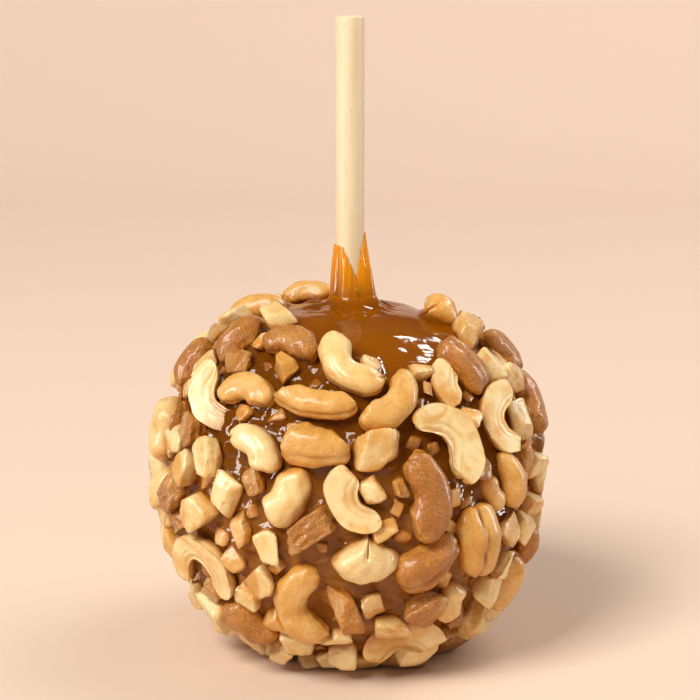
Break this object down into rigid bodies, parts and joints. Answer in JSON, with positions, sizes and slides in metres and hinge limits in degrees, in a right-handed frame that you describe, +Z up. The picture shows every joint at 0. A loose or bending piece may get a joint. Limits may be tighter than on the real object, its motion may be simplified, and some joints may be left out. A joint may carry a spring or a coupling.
{
  "type": "caramel apple",
  "caption": "Caramel apple on a wooden stick: a round apple dipped in glossy caramel, rolled all round in cashew nuts and chopped pieces, with a bare caramel dome on top.",
  "frame": {"origin": "centre of the flat foot of the coated apple, on the surface it stands on", "axes": "+Z up along the stick, -Y towards the front of the apple, +X to the right"},
  "size_m": [0.0965, 0.0962, 0.1544],
  "materials": {
    "birch": "plain sanded wood",
    "caramel": "glossy brown caramel",
    "nut_pale": "pale cashew, satin",
    "nut_tan": "lightly roasted cashew, satin",
    "nut_roasted": "dark roasted cashew, salted"
  },
  "bodies": {
    "root": {"cashew_broken_01": "nut_tan", "cashew_broken_02": "nut_tan", "cashew_broken_03": "nut_roasted", "cashew_chunk_01": "nut_tan", "cashew_chunk_02": "nut_roasted", "cashew_chunk_03": "nut_roasted", "cashew_chunk_04": "nut_roasted", "cashew_chunk_05": "nut_tan", "cashew_chunk_06": "nut_tan", "cashew_chunk_07": "nut_tan", "cashew_half_01": "nut_pale", "cashew_half_02": "nut_tan", "cashew_half_03": "nut_pale", "cashew_half_04": "nut_pale", "cashew_half_05": "nut_pale", "cashew_half_06": "nut_tan", "cashew_half_07": "nut_tan", "cashew_half_08": "nut_pale", "cashew_half_09": "nut_pale", "cashew_half_10": "nut_tan", "cashew_half_11": "nut_tan", "cashew_half_12": "nut_roasted", "cashew_split_01": "nut_pale", "cashew_split_02": "nut_pale", "cashew_split_03": "nut_pale", "cashew_split_04": "nut_pale", "cashew_split_05": "nut_pale", "cashew_split_06": "nut_tan", "cashew_split_07": "nut_pale", "cashew_split_08": "nut_pale", "cashew_split_09": "nut_roasted", "cashew_split_10": "nut_tan", "cashew_split_11": "nut_pale", "cashew_whole_01": "nut_pale", "cashew_whole_02": "nut_roasted", "cashew_whole_03": "nut_roasted", "cashew_whole_04": "nut_tan", "cashew_whole_05": "nut_pale", "cashew_whole_06": "nut_roasted", "cashew_whole_07": "nut_tan", "cashew_whole_08": "nut_roasted", "cashew_whole_09": "nut_tan", "cashew_whole_10": "nut_tan", "cashew_whole_11": "nut_roasted", "cashew_whole_12": "nut_tan", "cashew_whole_13": "nut_roasted", "cashew_whole_14": "nut_tan", "cashew_whole_15": "nut_roasted", "cashew_whole_16": "nut_roasted", "cashew_whole_17": "nut_roasted", "cashew_whole_18": "nut_tan", "cashew_whole_19": "nut_roasted", "cashew_whole_20": "nut_roasted", "cashew_whole_21": "nut_tan", "cashew_whole_22": "nut_roasted", "cashew_whole_23": "nut_roasted", "cashew_whole_24": "nut_pale", "cashew_whole_25": "nut_tan", "coated_apple": "caramel", "stick": "birch"}
  },
  "joints": []
}
